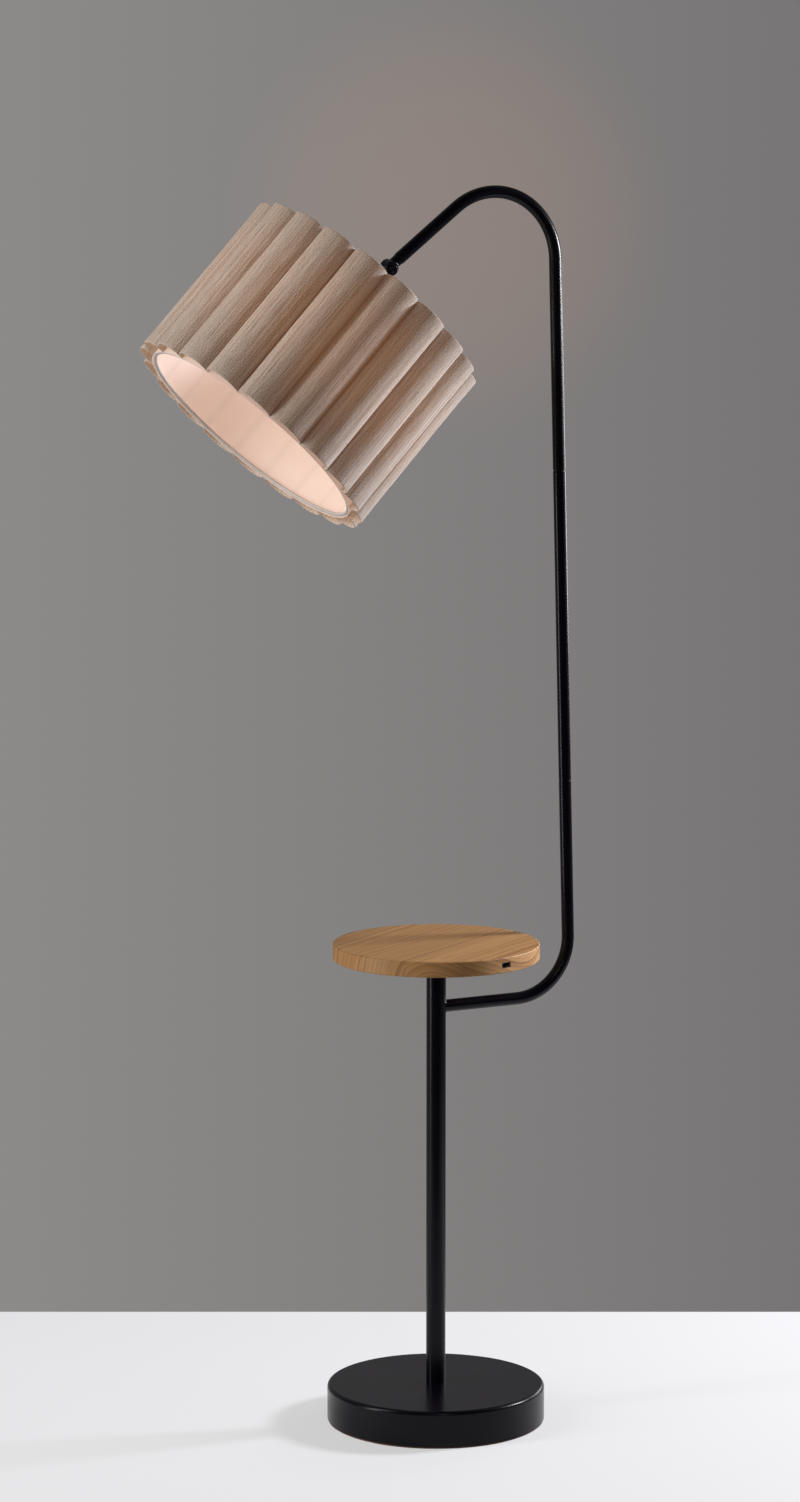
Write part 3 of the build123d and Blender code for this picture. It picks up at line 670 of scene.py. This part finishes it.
# shade place: where a point is on the shade, across a flute, out from the axis and along it
shade_place, given, result = new_group(
    "shade place",
    {"Place": ("Vector", None)},
    {"Valley": "Float", "Radius": "Float", "Along": "Float"},
)
from_knuckle = add_node(
    shade_place, "VectorMath", {0: given["Place"], 1: tuple(shade_origin)}, operation="SUBTRACT"
).outputs[0]
shade_across, shade_beside, shade_along = [
    dot(shade_place, from_knuckle, tuple(axis)) for axis in (shade_x, shade_y, shade_down)
]
angle = math_node(shade_place, "ARCTAN2", shade_beside, shade_across)
first_flute = 0.5 - first_crest * flutes / math.tau
turn = math_node(shade_place, "MULTIPLY_ADD", angle, flutes / math.tau, first_flute)
in_flute = math_node(shade_place, "FRACT", turn)
off_crest = math_node(shade_place, "ABSOLUTE", math_node(shade_place, "SUBTRACT", in_flute, 0.5))
valley = math_node(shade_place, "MULTIPLY", off_crest, 2.0)
beside_square = math_node(shade_place, "MULTIPLY", shade_beside, shade_beside)
squares = math_node(shade_place, "MULTIPLY_ADD", shade_across, shade_across, beside_square)
shade_place.links.new(valley, result.inputs["Valley"])
shade_place.links.new(math_node(shade_place, "SQRT", squares), result.inputs["Radius"])
shade_place.links.new(shade_along, result.inputs["Along"])

film, tree, shader, place = new_material("white film, lit", Emission_Strength=0.36)
on_shade = use_group(tree, shade_place, {"Place": place})
film_skin = lay_finish(
    tree,
    shader,
    place,
    broad=0.06,
    fine=0.0012,
    colour=(0.56, 0.51, 0.475),
    other_colour=(0.535, 0.485, 0.445),
    roughness=0.5,
    spread=0.1,
)
# painted shade: the film is darker, and glows less, where the fabric's valleys touch it
touching = remap(tree, on_shade["Valley"], 0.70, 1.0, to_low=1.0, to_high=touching_shade)
lined = scale_colour(tree, film_skin["Colour"], touching)
tree.links.new(lined, shader.inputs["Base Color"])
# painted glow from the bulb: full on the inner face, weaker on the outer face
inside = remap(
    tree,
    on_shade["Radius"],
    liner_middle - 0.0001,
    liner_middle + 0.0001,
    to_low=1.0,
    to_high=outer_glow,
)
panel_glow = scale_colour(tree, painted_peach_glow, math_node(tree, "MULTIPLY", inside, touching))
tree.links.new(panel_glow, shader.inputs["Emission Color"])
set_bump(tree, shader, film_skin["Height"], strength=0.05, distance=0.0002)
dress(film, "shade_liner")

# Shade fabric: oatmeal linen on a stiff backing, formed into twenty half round flutes and
# glued to the liner along their valleys. Both ends are turned in and stay open.
crest_r = 0.1744
valley_r = 0.1563
glued_r = 0.15525
cloth_thick = 0.0009
hem_thick = 0.0008
hem_long = 0.007
hem_step = 0.001
hem_beside = 0.4
valley_gap = 0.0003
flare_out = 0.0005
flare_long = 0.02
wave_long = 0.0002
wave_short = 0.0001
rim_outside = 0.00035
rim_inside = 0.0005
flute_columns = 22
body_rows = 40
yarn = 0.0012
yarn_sway = 0.0003
weave_contrast = 0.38
weave_height = 0.4
dark_yarn = (0.225, 0.184, 0.152, 1)
plain_yarn = (0.470, 0.413, 0.364, 1)
pale_yarn = (0.720, 0.660, 0.603, 1)
inner_glow = (0.50, 0.30, 0.165, 1)
far_glow = 0.55
# how far each kind of yarn streak is stretched, across and along, and how much it shows
yarn_streaks = (
    ((1150.0, 30.0, 1.0), 1.20),
    ((700.0, 1300.0, 1.0), 3.20),
    ((700.0, 4.0, 1.0), 1.50),
)

linen_cloth, tree, shader, place = new_material(
    "oatmeal linen", Sheen_Weight=0.12, Sheen_Roughness=0.5, Emission_Strength=0.48
)
cut = add_node(tree, "UVMap", uv_map="cloth").outputs[0]
sway = add_node(tree, "TexNoise", {"Vector": cut, "Scale": 38.0, "Detail": 2.0}).outputs["Color"]
swayed = add_node(
    tree,
    "VectorMath",
    {0: sway, 1: (yarn_sway, yarn_sway, 0.0), 2: cut},
    operation="MULTIPLY_ADD",
).outputs[0]
threads = add_node(tree, "SeparateXYZ", {0: swayed}).outputs
warp_wave, weft_wave = [
    math_node(tree, "SINE", math_node(tree, "MULTIPLY", threads[axis], math.pi / yarn))
    for axis in ("X", "Y")
]
over_under = math_node(tree, "MULTIPLY", warp_wave, weft_wave)
streaks = [
    noise(tree, stretch(tree, swayed, stretched), scale=1.0, detail=1.5)
    for stretched, shown in yarn_streaks
]
toned = 0.5
for streak, (stretched, shown) in zip(streaks, yarn_streaks):
    off_middle = math_node(tree, "SUBTRACT", streak, 0.5)
    toned = math_node(tree, "MULTIPLY_ADD", off_middle, shown, toned)
toned = math_node(tree, "MULTIPLY_ADD", over_under, weave_contrast, toned)
yarns = colour_ramp(tree, toned, (0.08, dark_yarn), (0.5, plain_yarn), (0.92, pale_yarn))
tree.links.new(yarns, shader.inputs["Base Color"])
warp_slubs = streaks[0]
cloth_rough = remap(tree, warp_slubs, 0.3, 0.7, to_low=0.95, to_high=0.82)
tree.links.new(cloth_rough, shader.inputs["Roughness"])
on_shade = use_group(tree, shade_place, {"Place": place})
# painted glow: the emission paints the bulb's warm light through the cloth, strongest on the
# flanks, less on the crests and darkest down in the valleys, fading away from the bulb's height;
# the inner faces get a paler painted glow
painted_warm_glow = colour_ramp(
    tree,
    on_shade["Valley"],
    (0.0, (0.225, 0.087, 0.023, 1)),
    (0.60, (0.290, 0.108, 0.026, 1)),
    (0.90, (0.210, 0.075, 0.017, 1)),
    (1.0, (0.120, 0.040, 0.009, 1)),
)
inner_face = add_node(tree, "Attribute", attribute_name="inner face").outputs["Fac"]
lit_through = mix_colours(tree, inner_face, painted_warm_glow, inner_glow)
below_bulb = math_node(tree, "SUBTRACT", on_shade["Along"], globe_middle)
near_bulb = remap(
    tree,
    math_node(tree, "ABSOLUTE", below_bulb),
    0.02,
    0.130,
    to_low=1.0,
    to_high=far_glow,
    interpolation_type="SMOOTHSTEP",
)
faded = scale_colour(tree, lit_through, near_bulb)
tree.links.new(faded, shader.inputs["Emission Color"])
cloth_height = math_node(tree, "MULTIPLY_ADD", over_under, weave_height, warp_slubs)
set_bump(tree, shader, cloth_height, strength=0.50, distance=0.0004)

rng = np.random.default_rng(20)
crest_drift = rng.uniform(-0.0005, 0.0004, flutes)
crest_lean = np.radians(rng.uniform(-0.25, 0.25, flutes))
wave_phase = rng.uniform(0, math.tau, (flutes, 2))
half_flute = math.pi / flutes
rim = [0.0, 0.0004, 0.0012, 0.5 * hem_long, hem_long, hem_long + hem_step]
body_ends = hem_long + hem_step, shade_height - hem_long - hem_step
body = list(np.linspace(*body_ends, body_rows)[1:-1])
rows = np.array(rim + body + [shade_height - r for r in reversed(rim)])
from_end = np.minimum(rows, shade_height - rows)
rim_round = np.interp(from_end, rim[:3], [1.0, 0.3, 0.0])
hem = np.interp(from_end, [hem_long, hem_long + hem_step], [1.0, 0.0])
bend_q = np.linspace(-math.pi / 2, math.pi / 2, flute_columns)


def cloth_ring(row, outer):
    """One row of points round the shade, on the outer or the inner face of the cloth."""
    s = rows[row] / shade_height
    flare = flare_out * math.exp(-((from_end[row] / flare_long) ** 2))
    angles, radii = [], []
    for flute in range(flutes):
        wave = wave_long * math.sin(3.1 * s + wave_phase[flute, 0])
        wave += wave_short * math.sin(9.0 * s + wave_phase[flute, 1])
        crest = crest_r + crest_drift[flute] + wave + flare
        if outer:
            foot, gap = valley_r, valley_gap
            crest -= rim_outside * rim_round[row]
        else:
            foot, gap = glued_r, cloth_thick + hem_thick * hem_beside * hem[row]
            crest -= cloth_thick + hem_thick * hem[row] - rim_inside * rim_round[row]
        reach = half_flute - gap / foot
        lean = crest_lean[flute] * (0.8 + 0.2 * math.sin(2.3 * s + wave_phase[flute, 1]))
        middle = first_crest + math.tau * flute / flutes
        angles.append(middle + reach * np.sin(bend_q) + lean * np.cos(bend_q) ** 2)
        radii.append(foot + (crest - foot) * np.cos(bend_q))
    return np.concatenate(angles), np.concatenate(radii)


cloth_rings = []
for outer in (True, False):
    for row, s in enumerate(rows):
        angles, radii = cloth_ring(row, outer)
        down = np.full_like(radii, shade_top + s)
        cloth_rings.append(np.stack([radii * np.cos(angles), radii * np.sin(angles), down], 1))
shade_axes = np.array([shade_x, shade_y, shade_down])
cloth_points = np.concatenate(cloth_rings) @ shade_axes + np.array(shade_origin)
columns = flutes * flute_columns
layer = len(rows) * columns
cloth_faces = []
for row in range(len(rows) - 1):
    here, below = row * columns, (row + 1) * columns
    for column in range(columns):
        beside = (column + 1) % columns
        corners = (here + column, here + beside, below + beside, below + column)
        cloth_faces.append(corners)
        cloth_faces.append(tuple(layer + c for c in reversed(corners)))
for row, flip in ((0, True), (len(rows) - 1, False)):
    here = row * columns
    for column in range(columns):
        beside = (column + 1) % columns
        corners = (here + column, here + beside, layer + here + beside, layer + here + column)
        cloth_faces.append(tuple(reversed(corners)) if flip else corners)
shade_linen = new_piece("shade_linen", cloth_points, cloth_faces, linen_cloth, sharp_degrees=65)
mesh = shade_linen.data
inner_mark = mesh.attributes.new("inner face", "FLOAT", "POINT")
inner_mark.data.foreach_set("value", np.repeat([0.0, 1.0], layer).astype(np.float32))

angles, radii = cloth_ring(len(rows) // 2, True)
steps = np.hypot(np.diff(radii), radii[1:] * np.diff(angles))
cut_along = np.concatenate([[0], np.cumsum(steps)])
cut_wide = cut_along[-1] + 2 * valley_gap
cloth_map = mesh.uv_layers.new(name="cloth")
for polygon in mesh.polygons:
    wraps = {v % columns for v in polygon.vertices} == {0, columns - 1}
    for loop, vertex in zip(polygon.loop_indices, polygon.vertices):
        column, row = vertex % columns, vertex % layer // columns
        wide = cut_wide if wraps and column == 0 else cut_along[column]
        cloth_map.uv[loop].vector = (wide, rows[row])

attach(shade_linen, "head")
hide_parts("shade_fabric")

# Studio: a plain pale floor that ends behind the lamp, a grey surround and four soft lights.
# The strong light comes from the right and a little from behind, the weaker one from the left.
# The surround is painted lighter on the left and darker on the right, as light falls on a wall,
# with a painted pool of the shade's warm light behind the shade, and it is darker behind the
# camera.
camera_turn = math.radians(27.41)
camera_pitch = math.radians(81.59)
camera_place = (-2.803, -5.305, 1.759)
camera_lens = 114.74
floor_far = 0.523
floor_near = -0.95
floor_side = 1.7
lamp_middle = Vector((0, 0, 0.9))
surround_left = (0.268, 0.258, 0.255, 1)
surround_right = (0.184, 0.176, 0.177, 1)
surround_blend = 0.09
painted_lamp_glow = (0.052, 0.018, 0.0, 1)
patch_edge = 0.9988
ambient_colour = (1.0, 0.99, 0.98, 1)
ambient_light = 0.10
behind_camera = 0.2
dim_blend = 0.3


def seen(right, away, up):
    """A point given to the camera's right, away from it and up, in the row frame."""
    c, s = math.cos(camera_turn), math.sin(camera_turn)
    return Vector((right * c + away * s, away * c - right * s, up))


def seen_directly(tree):
    """One where the eye, a reflection or a clear pane shows the backdrop, nought for its light."""
    path = add_node(tree, "LightPath").outputs
    mirrored = math_node(tree, "MAXIMUM", path["Is Glossy Ray"], path["Is Transmission Ray"])
    return math_node(tree, "MAXIMUM", path["Is Camera Ray"], mirrored)


floor_paint, tree, shader, place = new_material("pale floor", Emission_Strength=0.495)
lay_finish(
    tree,
    shader,
    place,
    broad=0.6,
    fine=0.003,
    colour=(0.33, 0.327, 0.342),
    other_colour=(0.32, 0.317, 0.332),
    roughness=0.75,
    spread=0.04,
)
tree.links.new(seen_directly(tree), shader.inputs["Emission Color"])
floor_corners = [
    seen(-floor_side, floor_near, 0.0),
    seen(floor_side, floor_near, 0.0),
    seen(floor_side, floor_far, 0.0),
    seen(-floor_side, floor_far, 0.0),
]
floor = new_piece("studio_floor", floor_corners, [(0, 1, 2, 3)], floor_paint)

world = bpy.data.worlds.new("studio")
bpy.context.scene.world = world
world.use_nodes = True
tree = world.node_tree
tree.nodes.clear()
looking = add_node(tree, "TexCoord").outputs["Generated"]
rightward = dot(tree, looking, tuple(seen(1.0, 0.0, 0.0)))
# painted side light: the surround is lighter on the left and darker on the right
sideways = remap(tree, rightward, -surround_blend, surround_blend)
surround = mix_colours(tree, sideways, surround_left, surround_right)
# painted pool of the shade's warm light on the surround behind the shade
patch_way = seen(0.010, 1.0, -0.036).normalized()
to_patch = dot(tree, looking, tuple(patch_way))
warmth = remap(tree, to_patch, patch_edge, 1.0, interpolation_type="SMOOTHSTEP")
warm_surround = mix_colours(tree, warmth, surround, painted_lamp_glow, blend_type="ADD")
ahead = dot(tree, looking, tuple(seen(0.0, 1.0, 0.0)))
dimmed = remap(tree, ahead, -dim_blend, dim_blend, to_low=behind_camera)
eye = add_node(tree, "LightPath").outputs["Is Camera Ray"]
backdrop_light = math_node(tree, "MAXIMUM", eye, dimmed)
backdrop = add_node(tree, "Background", {"Color": warm_surround, "Strength": backdrop_light})
ambient = add_node(tree, "Background", {"Color": ambient_colour, "Strength": ambient_light})
mixed = add_node(
    tree, "MixShader", {0: seen_directly(tree), 1: ambient.outputs[0], 2: backdrop.outputs[0]}
)
add_node(tree, "OutputWorld", {0: mixed.outputs[0]})

for name, stands, wide, tall, power, tint in (
    ("right_light", seen(2.35, 0.72, 1.60), 0.50, 0.50, 96.0, (0.98, 0.99, 1.05)),
    ("rim_light", seen(1.75, 2.4, 1.02), 1.6, 0.66, 18.0, (1.0, 1.0, 1.0)),
    ("left_light", seen(-1.95, -0.75, 1.25), 0.35, 2.5, 35.0, (1.0, 0.96, 0.91)),
    ("front_light", seen(0.6, -4.2, 2.6), 0.25, 1.8, 11.5, (1.0, 0.98, 0.96)),
):
    light = bpy.data.objects.new(name, bpy.data.lights.new(name, "AREA"))
    light.data.shape = "RECTANGLE"
    light.data.size, light.data.size_y = wide, tall
    light.data.energy = power
    light.data.color = tint
    light.location = stands
    light.visible_camera = False
    light.rotation_mode = "QUATERNION"
    light.rotation_quaternion = (lamp_middle - stands).to_track_quat("-Z", "Y")
    bpy.context.scene.collection.objects.link(light)

camera = bpy.data.objects.new("camera", bpy.data.cameras.new("camera"))
camera.data.lens = camera_lens
camera.data.sensor_width = 36.0
camera.data.clip_end = 60.0
camera.location = camera_place
camera.rotation_euler = (camera_pitch, 0.0, -camera_turn)
bpy.context.scene.collection.objects.link(camera)
bpy.context.scene.camera = camera
bpy.context.scene.view_settings.view_transform = "Standard"
